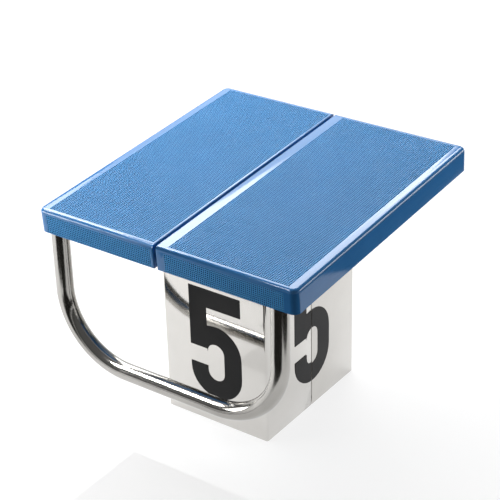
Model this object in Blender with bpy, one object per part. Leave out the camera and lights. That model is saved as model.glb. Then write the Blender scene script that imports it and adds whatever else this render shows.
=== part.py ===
"""Swimming-pool starting block: a two-part moulded top on a welded frame, a square steel column on
a base plate, a two-shell stainless pedestal round the column, and a bent backstroke grip.

Metres, +Z up. X runs across the lane, Y runs from the water (low) to the deck (high). The origin
is on the floor, at the middle of the block's bounding box.
"""
import math

import bmesh
import bpy
from mathutils import Matrix, Vector

GAP = 0.0003                      # clearance between two pieces that touch

# Platform, in its own sloping frame: x across, y up the slope, z square to the slope
PLATFORM_WIDTH = 0.600
PLATFORM_DEPTH = 0.620
PLATFORM_THICKNESS = 0.050
PLATFORM_TILT = math.radians(3.75)
PLATFORM_FRONT_HEIGHT = 0.425     # underside of the front edge above the floor
PANEL_WALL = 0.004
PANEL_GAP = 0.007
LEFT_PANEL_WIDTH = 0.283
SKIRT_RETURN = 0.010              # full-height skirt at each end of the gap side
PANEL_CORNER_RADIUS = 0.015
PANEL_SEAM_RADIUS = 0.006         # upright corners beside the gap
PANEL_TOP_RADIUS = 0.0055         # smaller than the upright corners it runs round

# Welded frame under the panels
RAIL_WIDTH = 0.030
BAR_WIDTH = 0.040
FRAME_HEIGHT = 0.025
FRAME_WALL = 0.0025
FRAME_CLEARANCE = 0.008           # frame to the inside of the skirts
BOSS_HEIGHT = 0.013
BOSS_RADIUS = 0.015
BOSS_INSET = 0.085                # boss centre from the panel's side
INNER_BAR_EDGE = 0.030            # middle bars' centres inside the head plate's ends

# Fasteners
BOLT_RADIUS = 0.004
BOLT_HEAD_HEIGHT = 0.0053
BOLT_ACROSS_FLATS = 0.013
BOLT_HOLE_CLEARANCE = 0.0005
PANEL_BOLT_GRIP = 0.009           # thread in a panel's boss
PLATE_BOLT_REACH = 0.012          # thread beyond a bolted plate
ANCHOR_RADIUS = 0.008
ANCHOR_HOLE_CLEARANCE = 0.002
ANCHOR_ABOVE_PLATE = 0.032
ANCHOR_NUT_HEIGHT = 0.013
ANCHOR_ACROSS_FLATS = 0.024
WASHER_RADIUS = 0.015
WASHER_THICKNESS = 0.003

# Pedestal
PEDESTAL_WIDTH = 0.250
PEDESTAL_DEPTH = 0.320
PEDESTAL_CENTRE_Y = 0.003
SHELL_THICKNESS = 0.002
SHELL_CORNER_RADIUS = 0.005
SHELL_LIFT = 0.0005               # shells stand just clear of the floor
SHELL_TOP = 0.001                 # shells end this far above the platform's underside
SEAM_WIDTH = 0.0025
LAP_WIDTH = 0.030
LAP_THICKNESS = 0.0015
LAP_BOTTOM = 0.020
LAP_TOP_DROP = 0.012
COLUMN_SIZE = 0.120
COLUMN_WALL = 0.004
BASE_THICKNESS = 0.010
BASE_CLEARANCE = 0.002            # base plate to the inside of the shells
BASE_CORNER = 0.006
ANCHOR_INSET = 0.032              # anchor centre from the base plate's edge
HEAD_PLATE_SIDE_CLEARANCE = 0.018  # head plate to the inside of the shells
HEAD_PLATE_END_CLEARANCE = 0.033
HEAD_PLATE_THICKNESS = 0.006
HEAD_BOLT_EDGE = 0.020
GUSSET_FOOT = 0.046
GUSSET_HEIGHT = 0.070
GUSSET_THICKNESS = 0.006
BRACKET_LEG = 0.030
BRACKET_WIDTH = 0.030
BRACKET_THICKNESS = 0.002
BRACKET_CLEARANCE = 0.019         # bracket to the anchor washer

# Backstroke grip
GRIP_RADIUS = 0.018
GRIP_WALL = 0.002
GRIP_LEFT_INSET = 0.030           # leg centres inside the platform's sides
GRIP_RIGHT_INSET = 0.051
GRIP_CLEARANCE = 0.0005           # legs to the inside of the front skirt
GRIP_HEIGHT = 0.149               # centre of the bottom run above the floor
GRIP_BEND_RADIUS = 0.148
FLANGE_DEPTH = 0.094
FLANGE_THICKNESS = 0.006
FLANGE_EDGE = 0.020               # flange beyond the tube's centre
FLANGE_BOLT_PITCH = 0.024
FLANGE_BOLT_INSET = 0.015

# Lane number, cut from film
DIGIT_HALF_WIDTH = 0.0625
DIGIT_HEIGHT = 0.249
DIGIT_BOTTOM = 0.060
DIGIT_STROKE = 0.042
DIGIT_WAIST = 0.112               # underside of the stem above the digit's foot
DIGIT_TAIL_TOP = 0.072
DIGIT_BOWL_TOP = 0.169
DIGIT_SHIFT = 0.0025              # the digit's box sits this far right of the face's middle
FILM_THICKNESS = 0.0003

ROUND_SEGMENTS = 24
BEND_STEPS = 14
CORNER_SEGMENTS = 5

# Levels and places that follow from the sizes above
SLOPE_RUN = PLATFORM_DEPTH * math.cos(PLATFORM_TILT)
PLATFORM_LEAN = PLATFORM_THICKNESS * math.sin(PLATFORM_TILT)
FRONT_EDGE_Y = (PLATFORM_LEAN - SLOPE_RUN) / 2
HALF_WIDTH = PLATFORM_WIDTH / 2
GAP_LEFT_X = LEFT_PANEL_WIDTH - HALF_WIDTH
GAP_RIGHT_X = GAP_LEFT_X + PANEL_GAP
SKIN_LEVEL = PLATFORM_THICKNESS - PANEL_WALL
FRAME_TOP = SKIN_LEVEL - BOSS_HEIGHT - GAP
FRAME_BOTTOM = FRAME_TOP - FRAME_HEIGHT
FRAME_INSET = PANEL_WALL + FRAME_CLEARANCE
RAIL_CENTRE_X = HALF_WIDTH - FRAME_INSET - RAIL_WIDTH / 2
BAR_REACH = HALF_WIDTH - FRAME_INSET - RAIL_WIDTH - GAP
COLUMN_SLOPE_Y = (PEDESTAL_CENTRE_Y - FRONT_EDGE_Y) / math.cos(PLATFORM_TILT)
END_BAR_INSET = FRAME_INSET + BAR_WIDTH / 2
SEAM_Y = PEDESTAL_CENTRE_Y
SHELL_INNER_X = PEDESTAL_WIDTH / 2 - SHELL_THICKNESS
SHELL_INNER_Y = PEDESTAL_DEPTH / 2 - SHELL_THICKNESS
HEAD_PLATE_WIDTH = 2 * (SHELL_INNER_X - HEAD_PLATE_SIDE_CLEARANCE)
HEAD_PLATE_DEPTH = 2 * (SHELL_INNER_Y - HEAD_PLATE_END_CLEARANCE)
HEAD_BOLT_SPACING = HEAD_PLATE_WIDTH - 2 * HEAD_BOLT_EDGE
INNER_BAR_SPACING = HEAD_PLATE_DEPTH - 2 * INNER_BAR_EDGE
BASE_HALF_X = SHELL_INNER_X - BASE_CLEARANCE
BASE_HALF_Y = SHELL_INNER_Y - BASE_CLEARANCE
BOLT_HOLE_RADIUS = BOLT_RADIUS + BOLT_HOLE_CLEARANCE
GRIP_SETBACK = PANEL_WALL + GRIP_CLEARANCE + GRIP_RADIUS
GRIP_LEGS = {"left": GRIP_LEFT_INSET - HALF_WIDTH, "right": HALF_WIDTH - GRIP_RIGHT_INSET}

BAR_PLACES = {
    "front_crossbar": END_BAR_INSET,
    "front_inner_crossbar": COLUMN_SLOPE_Y - INNER_BAR_SPACING / 2,
    "rear_inner_crossbar": COLUMN_SLOPE_Y + INNER_BAR_SPACING / 2,
    "rear_crossbar": PLATFORM_DEPTH - END_BAR_INSET,
}
PANEL_SPANS = {
    "left": (-HALF_WIDTH, GAP_LEFT_X),
    "right": (GAP_RIGHT_X, HALF_WIDTH),
}


def clear_scene():
    for existing in list(bpy.data.objects):
        bpy.data.objects.remove(existing)


def make_material(name, colour, roughness, metallic):
    material = bpy.data.materials.new(name)
    material.use_nodes = True
    shader = material.node_tree.nodes["Principled BSDF"]
    shader.inputs["Base Color"].default_value = (*colour, 1.0)
    shader.inputs["Roughness"].default_value = roughness
    shader.inputs["Metallic"].default_value = metallic
    material.diffuse_color = (*colour, 1.0)
    return material


def add_object(name, mesh, finish, parent=None):
    piece = bpy.data.objects.new(name, mesh)
    bpy.context.collection.objects.link(piece)
    colour, roughness, metallic = finish
    mesh.materials.append(make_material(name, colour, roughness, metallic))
    piece.parent = parent
    return piece


def finish_mesh(name, bm):
    bmesh.ops.recalc_face_normals(bm, faces=bm.faces)
    mesh = bpy.data.meshes.new(name)
    bm.to_mesh(mesh)
    bm.free()
    mesh.shade_smooth()
    mesh.set_sharp_from_angle(angle=math.radians(30))
    return mesh


def block_bmesh(low, high):
    bm = bmesh.new()
    bmesh.ops.create_cube(bm, size=1.0)
    low, high = Vector(low), Vector(high)
    size = high - low
    for vert in bm.verts:
        vert.co = Vector(c * s for c, s in zip(vert.co, size)) + (low + high) / 2
    return bm


def add_block(name, low, high, finish, parent=None):
    return add_object(name, finish_mesh(name, block_bmesh(low, high)), finish, parent)


def bevel_upright_corners(bm, radius_at):
    """Round each edge that runs along Z by the radius that radius_at(x, y) gives."""
    for corner in [edge for edge in bm.edges if is_upright(edge)]:
        if corner.is_valid:
            middle = (corner.verts[0].co + corner.verts[1].co) / 2
            radius = radius_at(middle.x, middle.y)
            bmesh.ops.bevel(bm, geom=[corner], offset=radius, segments=CORNER_SEGMENTS,
                            profile=0.5, affect='EDGES', clamp_overlap=True)


def is_upright(edge):
    first, second = edge.verts
    return (first.co - second.co).xy.length < 1e-7


def as_cutter(piece):
    piece.hide_render = True
    piece.display_type = 'WIRE'
    piece.hide_set(True)
    return piece


def add_boolean(piece, cutter, operation):
    modifier = piece.modifiers.new(cutter.name, 'BOOLEAN')
    modifier.operation = operation
    modifier.solver = 'EXACT'
    modifier.object = as_cutter(cutter)


def add_cylinders(name, places, radius, low, high, finish, parent=None):
    """One object of upright cylinders, for cutting holes or adding bosses."""
    bm = bmesh.new()
    for x, y in places:
        middle = Matrix.Translation((x, y, (low + high) / 2))
        bmesh.ops.create_cone(bm, cap_ends=True, segments=ROUND_SEGMENTS, radius1=radius,
                              radius2=radius, depth=high - low, matrix=middle)
    return add_object(name, finish_mesh(name, bm), finish, parent)


def add_box_tube(name, low, high, wall, axis, finish, parent=None):
    """A square tube from low to high, open at both ends along axis."""
    tube = add_block(name, low, high, finish, parent)
    inner_low = [value + wall for value in low]
    inner_high = [value - wall for value in high]
    inner_low[axis] = low[axis] - wall
    inner_high[axis] = high[axis] + wall
    bore = add_block(name + "_bore", inner_low, inner_high, finish, parent)
    add_boolean(tube, bore, 'DIFFERENCE')
    return tube


def underside_height(y):
    """Height of the platform's underside above the floor at a place along Y."""
    return PLATFORM_FRONT_HEIGHT + (y - FRONT_EDGE_Y) * math.tan(PLATFORM_TILT)


def slope_top(bm, offset):
    """Move the upper points of an upright prism onto a plane along the platform's underside."""
    middle = (min(v.co.z for v in bm.verts) + max(v.co.z for v in bm.verts)) / 2
    for vert in bm.verts:
        if vert.co.z > middle:
            vert.co.z = underside_height(vert.co.y) + offset / math.cos(PLATFORM_TILT)


def prism_bmesh(outline, depth):
    """A flat outline in 3D, pulled by the vector depth into a solid."""
    bm = bmesh.new()
    face = bm.faces.new([bm.verts.new(point) for point in outline])
    pulled = bmesh.ops.extrude_face_region(bm, geom=[face])
    moved = [item for item in pulled["geom"] if isinstance(item, bmesh.types.BMVert)]
    bmesh.ops.translate(bm, verts=moved, vec=depth)
    return bm


def arc(centre, radius, start, end, steps):
    """Points on an arc or an ellipse quarter, angles in degrees, both ends included."""
    radius_x, radius_y = radius if isinstance(radius, tuple) else (radius, radius)
    points = []
    for step in range(steps + 1):
        angle = math.radians(start + (end - start) * step / steps)
        points.append((centre[0] + radius_x * math.cos(angle),
                       centre[1] + radius_y * math.sin(angle)))
    return points


# ---------------------------------------------------------------- moulded top panels

def boss_places(x_low, x_high):
    ends = (BAR_PLACES["front_crossbar"], BAR_PLACES["rear_crossbar"])
    return [(x, y) for x in (x_low + BOSS_INSET, x_high - BOSS_INSET) for y in ends]


def add_top_panel(name, x_low, x_high, platform):
    """A moulded skin with skirts, open below, with four bosses for its bolts.

    Beside the gap the skirt is only a lip, so that the crossbars pass under it.
    """
    def corner_radius(x, y, inset=0.0):
        outer_corner = abs(abs(x) - (HALF_WIDTH - inset)) < 1e-4
        radius = PANEL_CORNER_RADIUS if outer_corner else PANEL_SEAM_RADIUS
        return max(radius - inset, 0.001)

    bm = block_bmesh((x_low, 0, 0), (x_high, PLATFORM_DEPTH, PLATFORM_THICKNESS))
    bevel_upright_corners(bm, corner_radius)
    rim = [edge for edge in bm.edges
           if all(abs(v.co.z - PLATFORM_THICKNESS) < 1e-6 for v in edge.verts)]
    bmesh.ops.bevel(bm, geom=rim, offset=PANEL_TOP_RADIUS, segments=4, profile=0.5,
                    affect='EDGES')
    panel = add_object(name, finish_mesh(name, bm), BLUE_MOULDING, platform)

    hollow_bm = block_bmesh((x_low + PANEL_WALL, PANEL_WALL, -PANEL_WALL),
                            (x_high - PANEL_WALL, PLATFORM_DEPTH - PANEL_WALL, SKIN_LEVEL))
    bevel_upright_corners(hollow_bm, lambda x, y: corner_radius(x, y, PANEL_WALL))
    hollow = add_object(name + "_hollow", finish_mesh(name + "_hollow", hollow_bm),
                        BLUE_MOULDING, platform)
    add_boolean(panel, hollow, 'DIFFERENCE')

    gap_side = x_high if abs(x_low) > abs(x_high) else x_low
    passage = add_block(name + "_frame_passage",
                        (gap_side - 2 * PANEL_WALL, SKIRT_RETURN, -PANEL_WALL),
                        (gap_side + 2 * PANEL_WALL, PLATFORM_DEPTH - SKIRT_RETURN, FRAME_TOP + GAP),
                        BLUE_MOULDING, platform)
    add_boolean(panel, passage, 'DIFFERENCE')

    places = boss_places(x_low, x_high)
    bosses = add_cylinders(name + "_bosses", places, BOSS_RADIUS, SKIN_LEVEL - BOSS_HEIGHT,
                           SKIN_LEVEL + PANEL_WALL / 2, BLUE_MOULDING, platform)
    add_boolean(panel, bosses, 'UNION')
    boss_bottom = SKIN_LEVEL - BOSS_HEIGHT
    holes = add_cylinders(name + "_holes", places, BOLT_RADIUS + GAP, boss_bottom - 0.001,
                          boss_bottom + PANEL_BOLT_GRIP + 0.002, BLUE_MOULDING, platform)
    add_boolean(panel, holes, 'DIFFERENCE')
    return panel


# ---------------------------------------------------------------- welded frame

def add_frame(platform):
    for side, sign in (("left", -1), ("right", 1)):
        middle = sign * RAIL_CENTRE_X
        rail = add_box_tube(side + "_side_rail",
                            (middle - RAIL_WIDTH / 2, FRAME_INSET, FRAME_BOTTOM),
                            (middle + RAIL_WIDTH / 2, PLATFORM_DEPTH - FRAME_INSET, FRAME_TOP),
                            FRAME_WALL, 1, SATIN_STEEL, platform)
        holes = add_cylinders(side + "_rail_holes", flange_bolt_places(sign), BOLT_HOLE_RADIUS,
                              FRAME_BOTTOM - FRAME_WALL, FRAME_BOTTOM + 2 * FRAME_WALL,
                              SATIN_STEEL, platform)
        add_boolean(rail, holes, 'DIFFERENCE')
    for name, place in BAR_PLACES.items():
        bar = add_box_tube(name, (-BAR_REACH, place - BAR_WIDTH / 2, FRAME_BOTTOM),
                           (BAR_REACH, place + BAR_WIDTH / 2, FRAME_TOP),
                           FRAME_WALL, 0, SATIN_STEEL, platform)
        if "inner" in name:
            places = [(x, place) for x in (-HEAD_BOLT_SPACING / 2, HEAD_BOLT_SPACING / 2)]
            top = FRAME_BOTTOM + 2 * FRAME_WALL
        else:
            places = [spot for span in PANEL_SPANS.values()
                      for spot in boss_places(*span) if abs(spot[1] - place) < 1e-6]
            top = FRAME_TOP + FRAME_WALL
        holes = add_cylinders(name + "_holes", places, BOLT_HOLE_RADIUS,
                              FRAME_BOTTOM - FRAME_WALL, top, SATIN_STEEL, platform)
        add_boolean(bar, holes, 'DIFFERENCE')


# ---------------------------------------------------------------- fasteners

def hex_radius(angle, across_flats):
    """Distance from the axis to a hexagon's side at an angle."""
    sector = math.radians(60)
    return across_flats / 2 / math.cos((angle + sector / 2) % sector - sector / 2)


def shape_ring(verts, radius, across_flats=None):
    for vert in verts:
        angle = math.atan2(vert.co.y, vert.co.x)
        reach = hex_radius(angle, across_flats) if across_flats else radius
        vert.co.x, vert.co.y = reach * math.cos(angle), reach * math.sin(angle)


def pull_faces(bm, faces, vector, keep_start=False):
    """Extrude faces along a vector, and return the new end faces and their points."""
    pulled = bmesh.ops.extrude_face_region(bm, geom=faces)["geom"]
    verts = [item for item in pulled if isinstance(item, bmesh.types.BMVert)]
    bmesh.ops.translate(bm, verts=verts, vec=vector)
    if not keep_start:
        remove_inner_faces(bm, faces)
    return [item for item in pulled if isinstance(item, bmesh.types.BMFace)], verts


def remove_inner_faces(bm, faces):
    """Delete the faces that an extrusion or a sweep left inside the solid."""
    left = [face for face in faces if face.is_valid]
    bmesh.ops.delete(bm, geom=left, context='FACES')


def hex_bolt_mesh(name, radius, length, head_height, across_flats):
    """A hexagon-head bolt that points up, with the top of its head's bearing face at z = 0."""
    bm = bmesh.new()
    start = bmesh.ops.create_circle(bm, cap_ends=True, radius=radius, segments=ROUND_SEGMENTS,
                                    matrix=Matrix.Translation((0, 0, -head_height)))["verts"]
    shape_ring(start, radius, across_flats)
    faces, verts = pull_faces(bm, bm.faces[:], (0, 0, head_height), keep_start=True)
    faces, verts = pull_faces(bm, faces, (0, 0, 0))
    shape_ring(verts, radius)
    pull_faces(bm, faces, (0, 0, length))
    return finish_mesh(name, bm)


def ring_mesh(name, inner, outer, height, across_flats=None):
    """A washer, or a nut where across_flats is given, standing on z = 0."""
    bm = bmesh.new()
    rim = bmesh.ops.create_circle(bm, radius=outer, segments=ROUND_SEGMENTS)["verts"]
    shape_ring(rim, outer, across_flats)
    bmesh.ops.create_circle(bm, radius=inner, segments=ROUND_SEGMENTS)
    bmesh.ops.bridge_loops(bm, edges=bm.edges[:])
    pull_faces(bm, bm.faces[:], (0, 0, height), keep_start=True)
    return finish_mesh(name, bm)


def add_fastener(name, mesh, place, parent=None):
    piece = bpy.data.objects.new(name, mesh)
    bpy.context.collection.objects.link(piece)
    piece.parent = parent
    piece.location = place
    if not mesh.materials:
        mesh.materials.append(make_material(mesh.name, *BRIGHT_STEEL))
    return piece


def flange_bolt_places(sign):
    rear = FRAME_INSET + FLANGE_DEPTH - FLANGE_BOLT_INSET
    return [(sign * RAIL_CENTRE_X, rear - FLANGE_BOLT_PITCH), (sign * RAIL_CENTRE_X, rear)]


def add_platform_bolts(platform):
    head_level = FRAME_BOTTOM - GAP
    panel_length = SKIN_LEVEL - BOSS_HEIGHT + PANEL_BOLT_GRIP - head_level
    panel_bolt = hex_bolt_mesh("panel_bolt", BOLT_RADIUS, panel_length, BOLT_HEAD_HEIGHT,
                               BOLT_ACROSS_FLATS)
    for side, span in PANEL_SPANS.items():
        for number, (x, y) in enumerate(boss_places(*span), 1):
            add_fastener(f"{side}_panel_bolt_{number}", panel_bolt, (x, y, head_level), platform)

    plate_level = FRAME_BOTTOM - 2 * GAP - HEAD_PLATE_THICKNESS
    plate_bolt = hex_bolt_mesh("plate_bolt", BOLT_RADIUS, HEAD_PLATE_THICKNESS + PLATE_BOLT_REACH,
                               BOLT_HEAD_HEIGHT, BOLT_ACROSS_FLATS)
    places = [(x, BAR_PLACES[bar]) for bar in ("front_inner_crossbar", "rear_inner_crossbar")
              for x in (-HEAD_BOLT_SPACING / 2, HEAD_BOLT_SPACING / 2)]
    for number, (x, y) in enumerate(places, 1):
        add_fastener(f"head_plate_bolt_{number}", plate_bolt, (x, y, plate_level), platform)

    flange_level = FRAME_BOTTOM - 2 * GAP - FLANGE_THICKNESS
    for side, sign in (("left", -1), ("right", 1)):
        for number, (x, y) in enumerate(flange_bolt_places(sign), 1):
            add_fastener(f"{side}_grip_bolt_{number}", plate_bolt, (x, y, flange_level), platform)


# ---------------------------------------------------------------- head plate, column and base

def add_head_plate(platform):
    top = FRAME_BOTTOM - GAP
    plate = add_block("head_plate",
                      (-HEAD_PLATE_WIDTH / 2, COLUMN_SLOPE_Y - HEAD_PLATE_DEPTH / 2,
                       top - HEAD_PLATE_THICKNESS),
                      (HEAD_PLATE_WIDTH / 2, COLUMN_SLOPE_Y + HEAD_PLATE_DEPTH / 2, top),
                      SATIN_STEEL, platform)
    places = [(x, COLUMN_SLOPE_Y + y) for x in (-HEAD_BOLT_SPACING / 2, HEAD_BOLT_SPACING / 2)
              for y in (-INNER_BAR_SPACING / 2, INNER_BAR_SPACING / 2)]
    holes = add_cylinders("head_plate_holes", places, BOLT_HOLE_RADIUS,
                          top - 2 * HEAD_PLATE_THICKNESS, top + HEAD_PLATE_THICKNESS,
                          SATIN_STEEL, platform)
    add_boolean(plate, holes, 'DIFFERENCE')


def add_column():
    """A square tube from the base plate to the head plate, its top cut along the slope."""
    half = COLUMN_SIZE / 2
    top_offset = FRAME_BOTTOM - 2 * GAP - HEAD_PLATE_THICKNESS
    outer = block_bmesh((-half, PEDESTAL_CENTRE_Y - half, BASE_THICKNESS + GAP),
                        (half, PEDESTAL_CENTRE_Y + half, 1.0))
    slope_top(outer, top_offset)
    column = add_object("column", finish_mesh("column", outer), SATIN_STEEL)
    inner = half - COLUMN_WALL
    bore = add_block("column_bore", (-inner, PEDESTAL_CENTRE_Y - inner, 0),
                     (inner, PEDESTAL_CENTRE_Y + inner, PLATFORM_FRONT_HEIGHT * 2), SATIN_STEEL)
    add_boolean(column, bore, 'DIFFERENCE')


def anchor_places():
    reach_x, reach_y = BASE_HALF_X - ANCHOR_INSET, BASE_HALF_Y - ANCHOR_INSET
    return [(x, PEDESTAL_CENTRE_Y + y) for x in (-reach_x, reach_x) for y in (-reach_y, reach_y)]


def add_base_plate():
    bm = block_bmesh((-BASE_HALF_X, PEDESTAL_CENTRE_Y - BASE_HALF_Y, 0),
                     (BASE_HALF_X, PEDESTAL_CENTRE_Y + BASE_HALF_Y, BASE_THICKNESS))
    bevel_upright_corners(bm, lambda x, y: BASE_CORNER)
    plate = add_object("base_plate", finish_mesh("base_plate", bm), SATIN_STEEL)
    holes = add_cylinders("anchor_holes", anchor_places(), ANCHOR_RADIUS + ANCHOR_HOLE_CLEARANCE,
                          -BASE_THICKNESS, 2 * BASE_THICKNESS, SATIN_STEEL)
    add_boolean(plate, holes, 'DIFFERENCE')


def add_anchors():
    """At each corner of the base plate: a stud, a plain washer and a hexagon nut."""
    washer = ring_mesh("anchor_washer", ANCHOR_RADIUS + 2 * GAP, WASHER_RADIUS, WASHER_THICKNESS)
    nut = ring_mesh("anchor_nut", ANCHOR_RADIUS + GAP, ANCHOR_ACROSS_FLATS / 2,
                    ANCHOR_NUT_HEIGHT, ANCHOR_ACROSS_FLATS)
    bm = bmesh.new()
    length = BASE_THICKNESS + ANCHOR_ABOVE_PLATE - SHELL_LIFT
    bmesh.ops.create_cone(bm, cap_ends=True, segments=ROUND_SEGMENTS, radius1=ANCHOR_RADIUS,
                          radius2=ANCHOR_RADIUS, depth=length,
                          matrix=Matrix.Translation((0, 0, length / 2)))
    stud = finish_mesh("anchor_stud", bm)
    washer_level = BASE_THICKNESS + GAP
    nut_level = washer_level + WASHER_THICKNESS + GAP
    for number, (x, y) in enumerate(anchor_places(), 1):
        add_fastener(f"anchor_stud_{number}", stud, (x, y, SHELL_LIFT))
        add_fastener(f"anchor_washer_{number}", washer, (x, y, washer_level))
        add_fastener(f"anchor_nut_{number}", nut, (x, y, nut_level))


def add_gussets():
    """Triangular ribs between the column's front and rear faces and the base plate."""
    foot_level = BASE_THICKNESS + GAP
    for side, sign in (("front", -1), ("rear", 1)):
        inner = PEDESTAL_CENTRE_Y + sign * (COLUMN_SIZE / 2 + GAP)
        outline = [(-GUSSET_THICKNESS / 2, inner, foot_level),
                   (-GUSSET_THICKNESS / 2, inner + sign * GUSSET_FOOT, foot_level),
                   (-GUSSET_THICKNESS / 2, inner, foot_level + GUSSET_HEIGHT)]
        bm = prism_bmesh(outline, (GUSSET_THICKNESS, 0, 0))
        add_object(side + "_gusset", finish_mesh(side + "_gusset", bm), SATIN_STEEL)


# ---------------------------------------------------------------- pedestal shells

def shell_outline(sign):
    """A C in plan: out along one side, round two bent corners, and back along the other side."""
    half_x = PEDESTAL_WIDTH / 2
    half_y = PEDESTAL_DEPTH / 2
    seam = SEAM_WIDTH / 2
    outer = []
    inner = []
    for side in (1, -1):
        centre = (side * (half_x - SHELL_CORNER_RADIUS), half_y - SHELL_CORNER_RADIUS)
        start, end = (0, 90) if side > 0 else (90, 180)
        outer += arc(centre, SHELL_CORNER_RADIUS, start, end, CORNER_SEGMENTS)
        inner += arc(centre, SHELL_CORNER_RADIUS - SHELL_THICKNESS, start, end, CORNER_SEGMENTS)
    outer = [(half_x, seam)] + outer + [(-half_x, seam)]
    inner = [(SHELL_INNER_X, seam)] + inner + [(-SHELL_INNER_X, seam)]
    loop = outer + inner[::-1]
    return [(x, PEDESTAL_CENTRE_Y + sign * y) for x, y in loop]


def add_shells():
    for name, sign in (("front_shell", -1), ("rear_shell", 1)):
        outline = [(x, y, SHELL_LIFT) for x, y in shell_outline(sign)]
        bm = prism_bmesh(outline, (0, 0, PLATFORM_FRONT_HEIGHT))
        slope_top(bm, SHELL_TOP)
        add_object(name, finish_mesh(name, bm), POLISHED_STEEL)


def add_lap_strips():
    """A strip behind each seam, fixed to the front shell, that the rear shell slides over."""
    for side, sign in (("left", -1), ("right", 1)):
        outer = sign * (SHELL_INNER_X - GAP)
        inner = outer - sign * LAP_THICKNESS
        low = (min(outer, inner), SEAM_Y - LAP_WIDTH / 2, LAP_BOTTOM)
        high = (max(outer, inner), SEAM_Y + LAP_WIDTH / 2, 1.0)
        bm = block_bmesh(low, high)
        slope_top(bm, -LAP_TOP_DROP)
        name = side + "_lap_strip"
        add_object(name, finish_mesh(name, bm), SATIN_STEEL)


def add_shell_brackets():
    """Angles that hold the front shell to the base plate."""
    face = PEDESTAL_CENTRE_Y - SHELL_INNER_Y + GAP
    foot = BASE_THICKNESS + GAP
    offset = BASE_HALF_X - ANCHOR_INSET - WASHER_RADIUS - BRACKET_CLEARANCE - BRACKET_WIDTH / 2
    for side, sign in (("left", -1), ("right", 1)):
        start = sign * offset - BRACKET_WIDTH / 2
        outline = [(start, face, foot),
                   (start, face + BRACKET_LEG, foot),
                   (start, face + BRACKET_LEG, foot + BRACKET_THICKNESS),
                   (start, face + BRACKET_THICKNESS, foot + BRACKET_THICKNESS),
                   (start, face + BRACKET_THICKNESS, foot + BRACKET_LEG),
                   (start, face, foot + BRACKET_LEG)]
        name = side + "_shell_bracket"
        bm = prism_bmesh(outline, (BRACKET_WIDTH, 0, 0))
        add_object(name, finish_mesh(name, bm), SATIN_STEEL)


# ---------------------------------------------------------------- backstroke grip

def swing_faces(bm, faces, centre, angle):
    """Sweep faces round an axis along Y through centre, and return the new end faces."""
    verts = {vert for face in faces for vert in face.verts}
    edges = {edge for face in faces for edge in face.edges}
    swept = bmesh.ops.spin(bm, geom=list(verts) + list(edges) + list(faces), cent=centre,
                           axis=(0, 1, 0), angle=angle, steps=BEND_STEPS, use_duplicate=False)
    remove_inner_faces(bm, faces)
    return [item for item in swept["geom_last"] if isinstance(item, bmesh.types.BMFace)]


def add_grip():
    """One tube: down a leg, round a bend, across, round the other bend and up."""
    y = FRONT_EDGE_Y + GRIP_SETBACK
    bend_level = GRIP_HEIGHT + GRIP_BEND_RADIUS
    leg = PLATFORM_FRONT_HEIGHT - bend_level
    left_x, right_x = GRIP_LEGS["left"], GRIP_LEGS["right"]

    bm = bmesh.new()
    start = Matrix.Translation((left_x, y, bend_level + leg))
    for radius in (GRIP_RADIUS, GRIP_RADIUS - GRIP_WALL):
        bmesh.ops.create_circle(bm, radius=radius, segments=ROUND_SEGMENTS, matrix=start)
    bmesh.ops.bridge_loops(bm, edges=bm.edges[:])
    faces, _ = pull_faces(bm, bm.faces[:], (0, 0, -leg), keep_start=True)
    faces = swing_faces(bm, faces, (left_x + GRIP_BEND_RADIUS, y, bend_level), -math.pi / 2)
    faces, _ = pull_faces(bm, faces, (right_x - left_x - 2 * GRIP_BEND_RADIUS, 0, 0))
    faces = swing_faces(bm, faces, (right_x - GRIP_BEND_RADIUS, y, bend_level), -math.pi / 2)
    _, last = pull_faces(bm, faces, (0, 0, leg))

    top_offset = FRAME_BOTTOM - 3 * GAP - FLANGE_THICKNESS
    for vert in bm.verts:
        if vert.co.z > PLATFORM_FRONT_HEIGHT - 1e-5:
            vert.co.z = underside_height(vert.co.y) + top_offset / math.cos(PLATFORM_TILT)
    add_object("backstroke_grip", finish_mesh("backstroke_grip", bm), POLISHED_STEEL)


def add_grip_flanges(platform):
    """A plate on top of each leg, bolted up into the side rail behind the leg."""
    top = FRAME_BOTTOM - GAP
    for side, sign in (("left", -1), ("right", 1)):
        tube_x = GRIP_LEGS[side]
        rail_x = sign * RAIL_CENTRE_X
        reach = HALF_WIDTH - PANEL_WALL - FRAME_CLEARANCE / 2
        low_x = max(min(tube_x, rail_x) - FLANGE_EDGE, -reach)
        high_x = min(max(tube_x, rail_x) + FLANGE_EDGE, reach)
        front = PANEL_WALL + 2 * GAP
        bm = block_bmesh((low_x, front, top - FLANGE_THICKNESS),
                         (high_x, FRAME_INSET + FLANGE_DEPTH, top))
        bevel_upright_corners(bm, lambda x, y: PANEL_CORNER_RADIUS - PANEL_WALL)
        name = side + "_grip_flange"
        flange = add_object(name, finish_mesh(name, bm), SATIN_STEEL, platform)
        holes = add_cylinders(side + "_flange_holes", flange_bolt_places(sign), BOLT_HOLE_RADIUS,
                              top - 2 * FLANGE_THICKNESS, top + FLANGE_THICKNESS,
                              SATIN_STEEL, platform)
        add_boolean(flange, holes, 'DIFFERENCE')


# ---------------------------------------------------------------- lane numbers

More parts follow.
